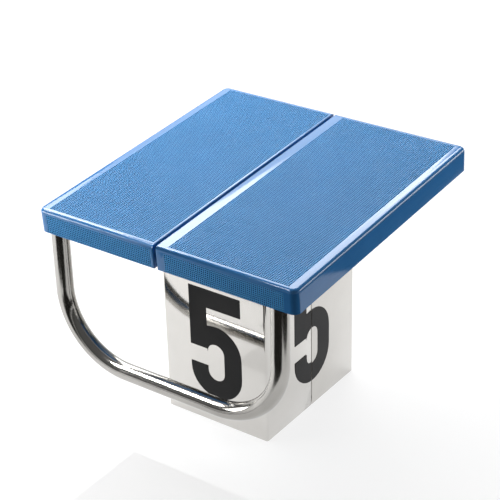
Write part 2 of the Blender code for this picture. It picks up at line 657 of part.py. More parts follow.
def digit_outline():
    """A plain block five, as (across, up) points, with its box's middle at across = 0."""
    half, stroke = DIGIT_HALF_WIDTH, DIGIT_STROKE
    foot, top = DIGIT_BOTTOM, DIGIT_BOTTOM + DIGIT_HEIGHT
    waist = foot + DIGIT_WAIST
    bowl_top = foot + DIGIT_BOWL_TOP
    outer = (half, half)
    inner = half - stroke
    points = [(-half, waist), (-half, top), (half, top), (half, top - stroke),
              (stroke - half, top - stroke), (stroke - half, bowl_top - 0.003)]
    points += arc((0, bowl_top - half), outer, 90, 0, 8)
    points += arc((0, foot + half), outer, 0, -180, 16)
    points += [(-half, foot + DIGIT_TAIL_TOP), (stroke - half, foot + DIGIT_TAIL_TOP)]
    points += arc((0, foot + stroke + inner), inner, 180, 360, 10)
    points += arc((0, bowl_top - stroke - inner), inner, 0, 180, 10)
    points += [(stroke - half, waist)]
    return points


def split_film(name, outline, depth, seam_place, seam_axis):
    """Cut a film at the seam and make each loose island its own thin solid."""
    sheet = bmesh.new()
    sheet.faces.new([sheet.verts.new(point) for point in outline]).normal_update()
    bmesh.ops.triangulate(sheet, faces=sheet.faces[:])
    for offset, side in ((-SEAM_WIDTH / 2, "front"), (SEAM_WIDTH / 2, "rear")):
        half = sheet.copy()
        keep_front = side == "front"
        bmesh.ops.bisect_plane(half, geom=half.verts[:] + half.edges[:] + half.faces[:],
                               plane_co=Vector(seam_axis) * (seam_place + offset),
                               plane_no=seam_axis, clear_outer=keep_front,
                               clear_inner=not keep_front)
        bmesh.ops.remove_doubles(half, verts=half.verts[:], dist=1e-6)
        for rank, island in enumerate(islands(half)):
            part = half.copy()
            part.faces.ensure_lookup_table()
            drop = [face for face in part.faces if face.index not in island]
            bmesh.ops.delete(part, geom=drop, context='FACES')
            pulled = bmesh.ops.extrude_face_region(part, geom=part.faces[:])["geom"]
            verts = [item for item in pulled if isinstance(item, bmesh.types.BMVert)]
            bmesh.ops.translate(part, verts=verts, vec=depth)
            label = f"{name}_{side}_{('upper', 'lower')[rank]}"
            add_object(label, finish_mesh(label, part), BLACK_FILM)
        half.free()
    sheet.free()


def islands(bm):
    """Face index sets of the loose islands, highest island first."""
    bm.faces.ensure_lookup_table()
    bm.faces.index_update()
    left = set(face.index for face in bm.faces)
    found = []
    while left:
        group, queue = set(), [left.pop()]
        while queue:
            current = queue.pop()
            group.add(current)
            near = {face.index for edge in bm.faces[current].edges for face in edge.link_faces}
            queue += list(near & left)
            left -= near
        found.append(group)

    def height(group):
        return max(vert.co.z for index in group for vert in bm.faces[index].verts)
    return sorted(found, key=height, reverse=True)


def add_lane_numbers():
    """The number faces outwards on all four sides; the seams cut the side numbers in two."""
    away = PEDESTAL_WIDTH / 2 + GAP
    front = PEDESTAL_CENTRE_Y - PEDESTAL_DEPTH / 2 - GAP
    rear = PEDESTAL_CENTRE_Y + PEDESTAL_DEPTH / 2 + GAP
    digit = [(across + DIGIT_SHIFT, up) for across, up in digit_outline()]

    front_film = prism_bmesh([(a, front, up) for a, up in digit], (0, -FILM_THICKNESS, 0))
    add_object("front_number", finish_mesh("front_number", front_film), BLACK_FILM)
    rear_film = prism_bmesh([(-a, rear, up) for a, up in digit], (0, FILM_THICKNESS, 0))
    add_object("rear_number", finish_mesh("rear_number", rear_film), BLACK_FILM)
    split_film("right_number", [(away, SEAM_Y + a, up) for a, up in digit],
               (FILM_THICKNESS, 0, 0), SEAM_Y, (0, 1, 0))
    split_film("left_number", [(-away, SEAM_Y - a, up) for a, up in digit],
               (-FILM_THICKNESS, 0, 0), SEAM_Y, (0, 1, 0))


BLUE_MOULDING = ((0.045, 0.190, 0.430), 0.30, 0.0)
POLISHED_STEEL = ((0.780, 0.770, 0.750), 0.12, 1.0)
SATIN_STEEL = ((0.620, 0.620, 0.610), 0.35, 1.0)
BRIGHT_STEEL = ((0.700, 0.700, 0.690), 0.22, 1.0)
BLACK_FILM = ((0.020, 0.020, 0.022), 0.40, 0.0)

clear_scene()

platform_frame = bpy.data.objects.new("platform_axes", None)
bpy.context.collection.objects.link(platform_frame)
platform_frame.location = (0, FRONT_EDGE_Y, PLATFORM_FRONT_HEIGHT)
platform_frame.rotation_euler = (PLATFORM_TILT, 0, 0)

for side_name, (span_low, span_high) in PANEL_SPANS.items():
    add_top_panel(side_name + "_top_panel", span_low, span_high, platform_frame)
add_frame(platform_frame)
add_head_plate(platform_frame)
add_grip_flanges(platform_frame)
add_platform_bolts(platform_frame)
add_column()
add_base_plate()
add_gussets()
add_anchors()
add_shells()
add_lap_strips()
add_shell_brackets()
add_grip()
add_lane_numbers()
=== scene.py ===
"""Swimming-pool starting block: its looks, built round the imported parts, in the order of assembly."""

import math

import bmesh
import bpy
from mathutils import Matrix, Vector


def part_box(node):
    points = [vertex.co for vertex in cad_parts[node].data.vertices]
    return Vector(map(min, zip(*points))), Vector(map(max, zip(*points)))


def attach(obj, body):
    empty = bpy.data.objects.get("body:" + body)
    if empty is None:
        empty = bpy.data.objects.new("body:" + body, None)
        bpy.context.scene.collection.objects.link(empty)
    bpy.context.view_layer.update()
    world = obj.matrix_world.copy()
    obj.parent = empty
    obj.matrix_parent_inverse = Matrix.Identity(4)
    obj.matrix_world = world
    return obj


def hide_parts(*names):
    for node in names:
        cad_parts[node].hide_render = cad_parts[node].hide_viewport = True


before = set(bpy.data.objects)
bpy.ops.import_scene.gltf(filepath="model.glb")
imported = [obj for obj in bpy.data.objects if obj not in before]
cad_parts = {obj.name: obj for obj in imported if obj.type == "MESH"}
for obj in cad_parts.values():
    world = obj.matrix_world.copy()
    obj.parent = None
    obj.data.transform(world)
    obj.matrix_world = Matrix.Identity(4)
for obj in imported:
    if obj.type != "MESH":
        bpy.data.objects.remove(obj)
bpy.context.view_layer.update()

# ------------------------------------------------------------------ base plate and column
# A square column of 4 mm stainless wall stands on a 10 mm base plate and carries the head plate.
# All of it is sawn, bent and TIG welded stainless, glass-blasted to an even satin grey and left
# bare; two gussets stiffen the column's foot.


def new_material(name):
    """An empty node material, and its node and link lists."""
    material = bpy.data.materials.new(name)
    material.use_nodes = True
    return material, material.node_tree.nodes, material.node_tree.links


def object_pattern(nodes, links, stretch=(1, 1, 1), turn=(0, 0, 0)):
    """Object coordinates, turned and stretched, for a pattern on a piece."""
    place = nodes.new("ShaderNodeTexCoord")
    mapping = nodes.new("ShaderNodeMapping")
    mapping.inputs["Scale"].default_value = stretch
    mapping.inputs["Rotation"].default_value = turn
    links.new(place.outputs["Object"], mapping.inputs["Vector"])
    return mapping.outputs["Vector"]


def noise(nodes, links, vector, scale, detail=3.0):
    """Noise on a pattern's coordinates, from 0 to 1."""
    texture = nodes.new("ShaderNodeTexNoise")
    texture.inputs["Scale"].default_value = scale
    texture.inputs["Detail"].default_value = detail
    texture.inputs["Roughness"].default_value = 0.55
    links.new(vector, texture.inputs["Vector"])
    return texture.outputs["Fac"]


def spread(nodes, links, value, low, high, start=0.3, end=0.7):
    """A 0 to 1 pattern spread over the range from low to high."""
    ranged = nodes.new("ShaderNodeMapRange")
    ranged.inputs["From Min"].default_value = start
    ranged.inputs["From Max"].default_value = end
    ranged.inputs["To Min"].default_value = low
    ranged.inputs["To Max"].default_value = high
    links.new(value, ranged.inputs["Value"])
    return ranged.outputs["Result"]


def tones(nodes, links, value, *stops):
    """A 0 to 1 pattern as a blend of colours, each given as (place, colour)."""
    ramp = nodes.new("ShaderNodeValToRGB")
    elements = ramp.color_ramp.elements
    while len(elements) < len(stops):
        elements.new(0.5)
    for element, (place, colour) in zip(elements, stops):
        element.position = place
        element.color = (*colour, 1.0)
    links.new(value, ramp.inputs["Fac"])
    return ramp.outputs["Color"]


def relief(nodes, links, value, depth):
    """A pattern as fine relief, of a depth in metres."""
    bump = nodes.new("ShaderNodeBump")
    bump.inputs["Strength"].default_value = 1.0
    bump.inputs["Distance"].default_value = depth
    links.new(value, bump.inputs["Height"])
    return bump.outputs["Normal"]


def make_steel(name, light, dark, rough, grain, stretch, wave=0.0):
    """Bare stainless: cloudy tone, uneven gloss, and a grain of given stretch and depth."""
    material, nodes, links = new_material(name)
    shader = nodes["Principled BSDF"]
    shader.inputs["Metallic"].default_value = 1.0
    place = object_pattern(nodes, links)
    lines = noise(nodes, links, object_pattern(nodes, links, stretch), 1.0, 4.0)
    cloud = noise(nodes, links, place, 9.0)
    links.new(tones(nodes, links, cloud, (0.3, dark), (0.7, light)), shader.inputs["Base Color"])
    links.new(spread(nodes, links, lines, *rough), shader.inputs["Roughness"])
    normal = relief(nodes, links, lines, grain)
    if wave:
        sheet = relief(nodes, links, noise(nodes, links, place, 5.0, 1.0), wave)
        links.new(sheet, nodes[normal.node.name].inputs["Normal"])
    links.new(normal, shader.inputs["Normal"])
    return material


satin_steel = make_steel("satin_stainless", (0.58, 0.57, 0.55), (0.47, 0.46, 0.44),
                         (0.30, 0.42), 0.00006, (700, 700, 700))


def repaint(name, material):
    """Give a CAD node a finished material."""
    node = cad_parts[name]
    node.data.materials.clear()
    node.data.materials.append(material)


for name in ("base_plate", "column", "front_gusset", "rear_gusset", "head_plate"):
    repaint(name, satin_steel)


def in_edit_mode(piece):
    """Open one piece, and only that one, for editing."""
    if bpy.context.object and bpy.context.object.mode != "OBJECT":
        bpy.ops.object.mode_set(mode="OBJECT")
    bpy.ops.object.select_all(action="DESELECT")
    piece.select_set(True)
    bpy.context.view_layer.objects.active = piece
    bpy.ops.object.mode_set(mode="EDIT")


def name_new(name):
    """Name the primitive just added and fix its place in its mesh."""
    piece = bpy.context.object
    piece.name = piece.data.name = name
    bpy.ops.object.transform_apply(location=True, rotation=True, scale=True)
    return piece


def add_cube(name, low, high):
    """A cube stretched between two corners."""
    bpy.ops.object.select_all(action="DESELECT")
    low, high = Vector(low), Vector(high)
    bpy.ops.mesh.primitive_cube_add(size=1, location=(low + high) / 2, scale=high - low)
    return name_new(name)


def pick_faces(piece, wanted):
    """Select the faces whose centre and normal pass a test."""
    bpy.ops.mesh.select_mode(type="FACE")
    bpy.ops.mesh.select_all(action="DESELECT")
    bm = bmesh.from_edit_mesh(piece.data)
    for face in bm.faces:
        if wanted(face.calc_center_median(), face.normal):
            face.select_set(True)
    bm.select_flush_mode()
    bmesh.update_edit_mesh(piece.data)


def pick_edges(piece, wanted):
    """Select the edges whose middle and direction pass a test."""
    bpy.ops.mesh.select_mode(type="EDGE")
    bpy.ops.mesh.select_all(action="DESELECT")
    bm = bmesh.from_edit_mesh(piece.data)
    for edge in bm.edges:
        start, end = edge.verts[0].co, edge.verts[1].co
        if wanted((start + end) / 2, (end - start).normalized()):
            edge.select_set(True)
    bm.select_flush_mode()
    bmesh.update_edit_mesh(piece.data)


def apply_modifier(piece, kind, **settings):
    """Add one modifier to a piece and apply it."""
    if piece.mode != "OBJECT":
        bpy.ops.object.mode_set(mode="OBJECT")
    bpy.ops.object.select_all(action="DESELECT")
    piece.select_set(True)
    bpy.context.view_layer.objects.active = piece
    modifier = piece.modifiers.new(kind.lower(), kind)
    for setting, value in settings.items():
        setattr(modifier, setting, value)
    bpy.ops.object.modifier_apply(modifier=modifier.name)


def smooth(piece, degrees=30):
    """Shade a piece smooth, with creases above an angle."""
    if piece.mode != "OBJECT":
        bpy.ops.object.mode_set(mode="OBJECT")
    bpy.ops.object.select_all(action="DESELECT")
    piece.select_set(True)
    bpy.context.view_layer.objects.active = piece
    bpy.ops.object.shade_smooth_by_angle(angle=math.radians(degrees))


MAX_CUTS = 100                    # the most that one subdivide makes


def ripple(piece, start, direction, step, height):
    """Cut rings round a piece and raise every other one, as in a weld bead or a thread."""
    in_edit_mode(piece)
    pick_edges(piece, lambda place, line: abs(line.dot(direction)) > 0.999)
    edge = next(edge for edge in bmesh.from_edit_mesh(piece.data).edges if edge.select)
    count = min(MAX_CUTS, 2 * round(edge.calc_length() / step / 2) - 1)
    step = edge.calc_length() / (count + 1)
    bpy.ops.mesh.subdivide(number_cuts=count)
    pick_edges(piece, lambda place, line: abs(line.dot(direction)) < 0.001
               and round((place - start).dot(direction) / step) % 2 == 1)
    bpy.ops.transform.shrink_fatten(value=height)
    bpy.ops.object.mode_set(mode="OBJECT")


def add_bead(start, end, radius):
    """A straight weld bead between two points."""
    start, end = Vector(start), Vector(end)
    direction = (end - start).normalized()
    bpy.ops.object.select_all(action="DESELECT")
    bpy.ops.mesh.primitive_cylinder_add(vertices=10, radius=radius, depth=(end - start).length,
                                        location=(start + end) / 2,
                                        rotation=direction.to_track_quat("Z", "Y").to_euler())
    bead = name_new("bead")
    ripple(bead, start, direction, WELD_STEP, WELD_RIDGE)
    return bead


def join_pieces(pieces, name):
    """Join pieces into one, with its place in its mesh."""
    bpy.ops.object.select_all(action="DESELECT")
    for piece in pieces:
        piece.select_set(True)
    bpy.context.view_layer.objects.active = pieces[0]
    bpy.ops.object.join()
    return name_new(name)


def finish_weld(beads, name):
    """Join beads into one welded seam on the block."""
    weld = join_pieces(beads, name)
    smooth(weld, 50)
    weld.data.materials.append(weld_steel)
    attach(weld, "block")


WELD_RADIUS = 0.0025
GUSSET_WELD_RADIUS = 0.7 * WELD_RADIUS
GUSSET_WELD_STOP = 0.004          # how far below the gusset's tip its bead ends
WELD_STEP = 0.0013                # from one ring of a bead to the next
WELD_RIDGE = 0.0004               # how far every other ring stands up
weld_steel = make_steel("weld_bead", (0.56, 0.54, 0.50), (0.40, 0.38, 0.35),
                        (0.24, 0.40), 0.00004, (900, 900, 900))
plate_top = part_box("base_plate")[1].z
column_low, column_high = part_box("column")
corners = [(column_low.x, column_low.y), (column_high.x, column_low.y),
           (column_high.x, column_high.y), (column_low.x, column_high.y)]
finish_weld([add_bead((*corners[number - 1], plate_top), (*corners[number], plate_top),
                      WELD_RADIUS) for number in range(4)], "column_foot_weld")
for side in ("front", "rear"):
    low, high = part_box(side + "_gusset")
    against, tip = (high.y, low.y) if side == "front" else (low.y, high.y)
    finish_weld([bead for x in (low.x, high.x) for bead in (
        add_bead((x, against, plate_top), (x, tip, plate_top), GUSSET_WELD_RADIUS),
        add_bead((x, against, plate_top), (x, against, high.z - GUSSET_WELD_STOP),
                 GUSSET_WELD_RADIUS))],
        side + "_gusset_weld")

# The top leans to the water. Its own axes start at the front of its underside.
TILT = math.radians(3.75)
PANEL_DEPTH = 0.620
panel_low, panel_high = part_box("right_top_panel")
front_edge = Vector((0, panel_high.y - PANEL_DEPTH * math.cos(TILT), panel_low.z))
slope_normal = Vector((0, -math.sin(TILT), math.cos(TILT)))
slope_place = Matrix.Translation(front_edge) @ Matrix.Rotation(TILT, 4, "X")


def sloped_box(name):
    """A CAD node's lowest and highest corners in the top's own axes."""
    to_slope = slope_place.inverted()
    points = [to_slope @ vertex.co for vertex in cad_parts[name].data.vertices]
    return [Vector(pick(point[axis] for point in points) for axis in range(3))
            for pick in (min, max)]


def on_slope(point):
    """A point in the top's own axes, as a place in the room."""
    return slope_place @ Vector(point)


def up_slope(y, level):
    """How far up the slope a place in the room lies, at a level in the top's own axes."""
    return (y - front_edge.y + level * math.sin(TILT)) / math.cos(TILT)


plate_level = sloped_box("head_plate")[0].z
head_corners = [on_slope((x, up_slope(y, plate_level), plate_level)) for x, y in corners]
finish_weld([add_bead(head_corners[start], head_corners[end], WELD_RADIUS)
             for start, end in ((0, 3), (1, 2), (0, 1), (3, 2))], "column_head_weld")

# ------------------------------------------------------------------ anchors
# Four M16 stainless studs are set in the deck with resin. Each holds the base plate down with a
# washer and a nut. They are turned from bar, brighter than the plates they hold.
bright_steel = make_steel("bright_fasteners", (0.70, 0.69, 0.67), (0.58, 0.57, 0.55),
                          (0.18, 0.30), 0.00004, (500, 500, 900))


def combine(piece, tool, operation):
    """Join or cut one solid with another, and remove the tool."""
    apply_modifier(piece, "BOOLEAN", object=tool, operation=operation, solver="EXACT")
    bpy.data.objects.remove(tool)


def add_round(radius, low, high, sides=32):
    """An upright bar between two heights, on the middle of the floor."""
    bpy.ops.object.select_all(action="DESELECT")
    bpy.ops.mesh.primitive_cylinder_add(vertices=sides, radius=radius, depth=high - low,
                                        location=(0, 0, (low + high) / 2))
    return name_new("bar")


END_FACE_SHARE = 0.96             # of the flats: the round face that turning leaves


def add_hexagon(across_flats, low, high, both_ends):
    """A hexagon bar whose corners are turned down at its lower end, or at both."""
    corner = across_flats / math.sqrt(3)
    chamfer = (corner - across_flats / 2) * math.tan(math.radians(30))
    hexagon = add_round(corner, low, high, sides=6)
    turned = add_round(corner, low + chamfer, high - (chamfer if both_ends else 0), sides=48)
    for end, sign in ((low, -1), (high, 1)) if both_ends else ((low, -1),):
        in_edit_mode(turned)
        pick_faces(turned, lambda place, normal: normal.z * sign > 0.99)
        bpy.ops.mesh.extrude_region_move(TRANSFORM_OT_translate={"value": (0, 0, sign * chamfer)})
        share = across_flats / 2 * END_FACE_SHARE / corner
        bpy.ops.transform.resize(value=(share, share, 1), center_override=(0, 0, end))
        bpy.ops.object.mode_set(mode="OBJECT")
    combine(hexagon, turned, "INTERSECT")
    return hexagon


def cut_thread(bar, low, pitch, depth):
    """Turn a bar's side into thread."""
    ripple(bar, Vector((0, 0, low)), Vector((0, 0, 1)), pitch / 2, -depth)


def set_copies(model, names, places, turn, material):
    """Put a copy of a fastener at each place, each with its own mesh, in its node's stead."""
    smooth(model, 40)
    model.data.materials.append(material)
    for name, place in zip(names, places):
        bpy.ops.object.select_all(action="DESELECT")
        piece = model.copy()
        piece.data = model.data.copy()
        bpy.context.collection.objects.link(piece)
        piece.location, piece.rotation_euler = place, (turn, 0, 0)
        piece.select_set(True)
        bpy.context.view_layer.objects.active = piece
        piece = name_new("turned_" + name)
        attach(piece, "block")
        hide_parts(name)
    bpy.data.objects.remove(model)


ANCHOR_RADIUS = 0.008
ANCHOR_FLATS = 0.024
ANCHOR_PITCH = 0.002
THREAD_SHARE = 0.45               # of the pitch: how deep the thread is
WASHER_CLEARANCE = 0.0006
WASHER_EDGE = 0.0004
NUT_CLEARANCE = 0.0003
PAST_END = 0.001                  # how far a cutting bar stands out of what it cuts
boxes = {kind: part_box(f"anchor_{kind}_1") for kind in ("stud", "washer", "nut")}

stud_height = boxes["stud"][1].z - boxes["stud"][0].z
stud = add_round(ANCHOR_RADIUS, 0, stud_height)
cut_thread(stud, 0, ANCHOR_PITCH, ANCHOR_PITCH * THREAD_SHARE)

washer_height = boxes["washer"][1].z - boxes["washer"][0].z
washer = add_round((boxes["washer"][1].x - boxes["washer"][0].x) / 2, 0, washer_height, sides=48)
combine(washer, add_round(ANCHOR_RADIUS + WASHER_CLEARANCE, -PAST_END, washer_height + PAST_END),
        "DIFFERENCE")
apply_modifier(washer, "BEVEL", width=WASHER_EDGE, segments=2, limit_method="ANGLE")

nut_height = boxes["nut"][1].z - boxes["nut"][0].z
nut = add_hexagon(ANCHOR_FLATS, 0, nut_height, both_ends=True)
combine(nut, add_round(ANCHOR_RADIUS + NUT_CLEARANCE, -PAST_END, nut_height + PAST_END),
        "DIFFERENCE")

for kind, model in (("stud", stud), ("washer", washer), ("nut", nut)):
    names = [f"anchor_{kind}_{number}" for number in range(1, 5)]
    middles = [(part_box(name)[0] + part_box(name)[1]) / 2 for name in names]
    set_copies(model, names, [(middle.x, middle.y, boxes[kind][0].z) for middle in middles], 0,
               bright_steel)

# ------------------------------------------------------------------ top frame
# Two side rails and four crossbars of square stainless tube, brushed along their length. They are
# welded into one flat frame and bolted to the head plate, and the panels sit on it.
FRAME_WELD_RADIUS = 0.6 * WELD_RADIUS
FRAME_WELD_STOP = 0.002           # how far inside a crossbar's width its bead ends
CROSSBARS = ("front_crossbar", "front_inner_crossbar", "rear_inner_crossbar", "rear_crossbar")
tube_steel = make_steel("brushed_tube", (0.60, 0.59, 0.57), (0.50, 0.49, 0.47),
                        (0.26, 0.40), 0.00005, (60, 900, 900))
rail_steel = make_steel("brushed_rail", (0.60, 0.59, 0.57), (0.50, 0.49, 0.47),
                        (0.26, 0.40), 0.00005, (900, 60, 900))
for name in CROSSBARS:
    repaint(name, tube_steel)
for name in ("left_side_rail", "right_side_rail"):
    repaint(name, rail_steel)
frame_beads = []
for name in CROSSBARS:
    low, high = sloped_box(name)
    for edge in (sloped_box("left_side_rail")[1].x, sloped_box("right_side_rail")[0].x):
        frame_beads.append(add_bead(on_slope((edge, low.y + FRAME_WELD_STOP, low.z)),
                                    on_slope((edge, high.y - FRAME_WELD_STOP, low.z)),
                                    FRAME_WELD_RADIUS))
finish_weld(frame_beads, "frame_weld")

BOLT_RADIUS = 0.004
BOLT_FLATS = 0.013
BOLT_HEAD = 0.0053
BOLT_PITCH = 0.00125
SHANK_ROOT = 0.0002               # how far inside the head the shank starts


def set_bolts(names):
    """Hexagon-head bolts that point up through the slope, all of one length."""
    ends = [sloped_box(name) for name in names]
    length = ends[0][1].z - ends[0][0].z
    bolt = add_hexagon(BOLT_FLATS, 0, BOLT_HEAD, both_ends=False)
    shank = add_round(BOLT_RADIUS, BOLT_HEAD - SHANK_ROOT, length, sides=24)
    cut_thread(shank, BOLT_HEAD - SHANK_ROOT, BOLT_PITCH, BOLT_PITCH * THREAD_SHARE)
    bolt = join_pieces([bolt, shank], "bolt")
    places = [on_slope(((low.x + high.x) / 2, (low.y + high.y) / 2, low.z)) for low, high in ends]
    set_copies(bolt, names, places, TILT, bright_steel)


set_bolts([f"head_plate_bolt_{number}" for number in range(1, 5)])

# ------------------------------------------------------------------ shell fixings
# Lap strips behind the two side seams are spot welded to the front shell and guide the rear one.
# Two angle brackets hold the front shell's foot to the base plate.
for name in ("left_lap_strip", "right_lap_strip", "left_shell_bracket", "right_shell_bracket"):
    repaint(name, satin_steel)

# ------------------------------------------------------------------ pedestal shells
# Two 2 mm stainless sheets, each bent to a U, meet in the middle of the pedestal's sides. They are
# polished nearly to a mirror and their top edges are cut to the slope of the top.
SHELL_WALL = 0.002
SHELL_CORNER = 0.005
SHELL_EDGE = 0.0003               # the cut edges are barely broken
SHELL_TOP = 0.001                 # the cut, above the underside of the top
mirror_steel = make_steel("polished_sheet", (0.64, 0.625, 0.60), (0.60, 0.585, 0.56),
                          (0.055, 0.10), 0.000002, (420, 420, 24), wave=0.0002)

for name, body, seam in (("front_shell", "block", 1), ("rear_shell", "rear_cover", -1)):
    low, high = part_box(name)
    shell = add_cube(name + "_sheet", low, high)
    in_edit_mode(shell)
    pick_edges(shell, lambda place, line: abs(line.z) > 0.9
               and (place.y - (low.y + high.y) / 2) * seam < 0)
    bpy.ops.mesh.bevel(offset=SHELL_CORNER, segments=10, affect="EDGES")
    pick_faces(shell, lambda place, normal: abs(normal.z) > 0.9 or normal.y * seam > 0.9)
    bpy.ops.mesh.delete(type="FACE")
    bpy.ops.mesh.select_all(action="SELECT")
    bpy.ops.mesh.bisect(plane_co=front_edge + slope_normal * SHELL_TOP, plane_no=slope_normal,
                        clear_outer=True, use_fill=False)
    apply_modifier(shell, "SOLIDIFY", thickness=SHELL_WALL, offset=-1, use_even_offset=True)
    apply_modifier(shell, "BEVEL", width=SHELL_EDGE, segments=2, limit_method="ANGLE",
                   angle_limit=math.radians(60))
    smooth(shell)
    shell.data.materials.append(mirror_steel)
    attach(shell, body)
    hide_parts(name)

# ------------------------------------------------------------------ lane numbers
# The lane number is cut from matt black vinyl film and pressed onto all four sides. On the sides
# it is slit along the seam, so that the rear sheet still comes away.
film, film_nodes, film_links = new_material("black_film")
film_shader = film_nodes["Principled BSDF"]
film_shader.inputs["Specular IOR Level"].default_value = 0.15
film_grain = noise(film_nodes, film_links, object_pattern(film_nodes, film_links), 900.0)
film_cloud = noise(film_nodes, film_links, object_pattern(film_nodes, film_links), 14.0)
film_links.new(tones(film_nodes, film_links, film_cloud, (0.3, (0.006, 0.006, 0.0065)),
                     (0.7, (0.009, 0.009, 0.0095))), film_shader.inputs["Base Color"])
film_links.new(spread(film_nodes, film_links, film_cloud, 0.30, 0.42),
               film_shader.inputs["Roughness"])
film_links.new(relief(film_nodes, film_links, film_grain, 0.00003),
               film_shader.inputs["Normal"])
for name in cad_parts:
    if "_number" in name:
        repaint(name, film)

# ------------------------------------------------------------------ backstroke grip
# One 36 mm stainless tube, drawn round two bends and polished bright. Its legs end in flanges that
# bolt up into the side rails, just behind the front skirts.
GRIP_RADIUS = 0.018
GRIP_WALL = 0.002
GRIP_BEND = 0.148                 # the bends' radius, to the middle of the tube
GRIP_SIDES = 72
BEND_STEPS = 48
LEG_WELD_RADIUS = 0.7 * WELD_RADIUS
LEG_WELD_RINGS = 96
grip_low, grip_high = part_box("backstroke_grip")
grip_y = (grip_low.y + grip_high.y) / 2
left_x, right_x = grip_low.x + GRIP_RADIUS, grip_high.x - GRIP_RADIUS
bend_z = grip_low.z + GRIP_RADIUS + GRIP_BEND
leg = grip_high.z - bend_z

bpy.ops.object.select_all(action="DESELECT")
bpy.ops.mesh.primitive_circle_add(vertices=GRIP_SIDES, radius=GRIP_RADIUS, fill_type="NGON",
                                  location=(left_x, grip_y, grip_high.z))
grip = name_new("grip_tube")
in_edit_mode(grip)
bpy.ops.mesh.select_all(action="SELECT")
bpy.ops.mesh.extrude_region_move(TRANSFORM_OT_translate={"value": (0, 0, -leg)})
bpy.ops.mesh.spin(steps=BEND_STEPS, angle=math.pi / 2, axis=(0, 1, 0),
                  center=(left_x + GRIP_BEND, grip_y, bend_z))
bpy.ops.mesh.extrude_region_move(
    TRANSFORM_OT_translate={"value": (right_x - left_x - 2 * GRIP_BEND, 0, 0)})
bpy.ops.mesh.spin(steps=BEND_STEPS, angle=math.pi / 2, axis=(0, 1, 0),
                  center=(right_x - GRIP_BEND, grip_y, bend_z))
bpy.ops.mesh.extrude_region_move(TRANSFORM_OT_translate={"value": (0, 0, leg)})
pick_faces(grip, lambda place, normal: True)
bm = bmesh.from_edit_mesh(grip.data)
for face in bm.faces:
    face.select_set(len(face.verts) > 4)
bmesh.update_edit_mesh(grip.data)
bpy.ops.mesh.delete(type="FACE")
bpy.ops.mesh.select_all(action="SELECT")
bpy.ops.mesh.remove_doubles(threshold=0.00001)
bpy.ops.mesh.normals_make_consistent(inside=False)
bpy.ops.mesh.bisect(plane_co=(0, grip_low.y, grip_high.z - 2 * GRIP_RADIUS * math.tan(TILT)),
                    plane_no=slope_normal, clear_outer=True, use_fill=False)
apply_modifier(grip, "SOLIDIFY", thickness=GRIP_WALL, offset=-1, use_even_offset=True)
smooth(grip)
grip_steel = make_steel("polished_tube", (0.46, 0.449, 0.428), (0.38, 0.370, 0.350),
                        (0.11, 0.17), 0.000006, (300, 300, 300))
grip.data.materials.append(grip_steel)
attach(grip, "block")
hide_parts("backstroke_grip")

for side, leg_x in (("left", left_x), ("right", right_x)):
    repaint(side + "_grip_flange", satin_steel)
    level = sloped_box(side + "_grip_flange")[0].z
    bpy.ops.object.select_all(action="DESELECT")
    bpy.ops.mesh.primitive_torus_add(major_radius=GRIP_RADIUS, minor_radius=LEG_WELD_RADIUS,
                                     major_segments=LEG_WELD_RINGS, minor_segments=8,
                                     location=on_slope((leg_x, up_slope(grip_y, level), level)),
                                     rotation=(TILT, 0, 0))
    bead = bpy.context.object
    in_edit_mode(bead)
    pick_edges(bead, lambda place, line: abs(math.remainder(
        math.atan2(place.y, place.x), 2 * math.tau / LEG_WELD_RINGS)) < 0.001)
    bpy.ops.transform.shrink_fatten(value=WELD_RIDGE)
    bpy.ops.object.mode_set(mode="OBJECT")
    finish_weld([bead], side + "_leg_weld")
set_bolts([f"{side}_grip_bolt_{number}" for side in ("left", "right") for number in (1, 2)])

# ------------------------------------------------------------------ top panels
# Two glossy blue mouldings, 4 mm thick and hollow below, with a gap of 7 mm between them. The
# mould gives the standing area and the front face a fine waffle that wet feet hold on to, and
# leaves a smooth border round it. Four bosses in each take the bolts from the frame.
PANEL_THICKNESS = 0.050
PANEL_WALL = 0.004
PANEL_CORNER = 0.015
RIM_RADIUS = 0.0085
SEAM_RIM = 0.0018                 # the edges beside the gap are tighter
PITCH = 0.0044
RIDGE_HALF = 0.00065              # half the width of the flat ridge between two pits
PIT_SIDE = 0.00035
PIT_DEPTH = 0.0010
FRONT_RIDGE_HALF = 0.0009
FRONT_PIT_DEPTH = 0.0020
BORDERS = {"left": ((0.022, 0.0042), (0.020, 0.0060)),   # smooth, at the left and right ends:
           "right": ((0.0225, 0.0205), (0.019, 0.0265))}  # on the top, then on the front
TOP_ROWS = (0.0105, 0.608)        # where the waffle starts and ends, from the front
FRONT_ROWS = (0.0015, 0.0400)     # and on the front face, from its lower edge
BOSS_RADIUS = 0.015
BOSS_INSET = 0.085                # from the panel's sides
BOSS_END_INSET = 0.032            # from its front and rear
BOSS_BOTTOM = 0.033
BOSS_TOP = 0.0475
HOLE_RADIUS = 0.0043
HOLE_TOP = 0.044
PASSAGE_HALF = 0.008              # the skirt beside the gap is cut away this far each way
PASSAGE_END = 0.010               # and ends here, from the front and rear
LIP_LEVEL = 0.033
NEAR = 1e-5                       # places this close are the same place

gloss_blue, nodes, links = new_material("gloss_blue")
shader = nodes["Principled BSDF"]
place = object_pattern(nodes, links)
cloud = noise(nodes, links, place, 6.0)
links.new(tones(nodes, links, cloud, (0.3, (0.032, 0.165, 0.41)), (0.7, (0.038, 0.185, 0.45))),
          shader.inputs["Base Color"])
links.new(spread(nodes, links, noise(nodes, links, place, 40.0), 0.06, 0.10),
          shader.inputs["Roughness"])
links.new(relief(nodes, links, noise(nodes, links, place, 260.0), 0.00001),
          shader.inputs["Normal"])


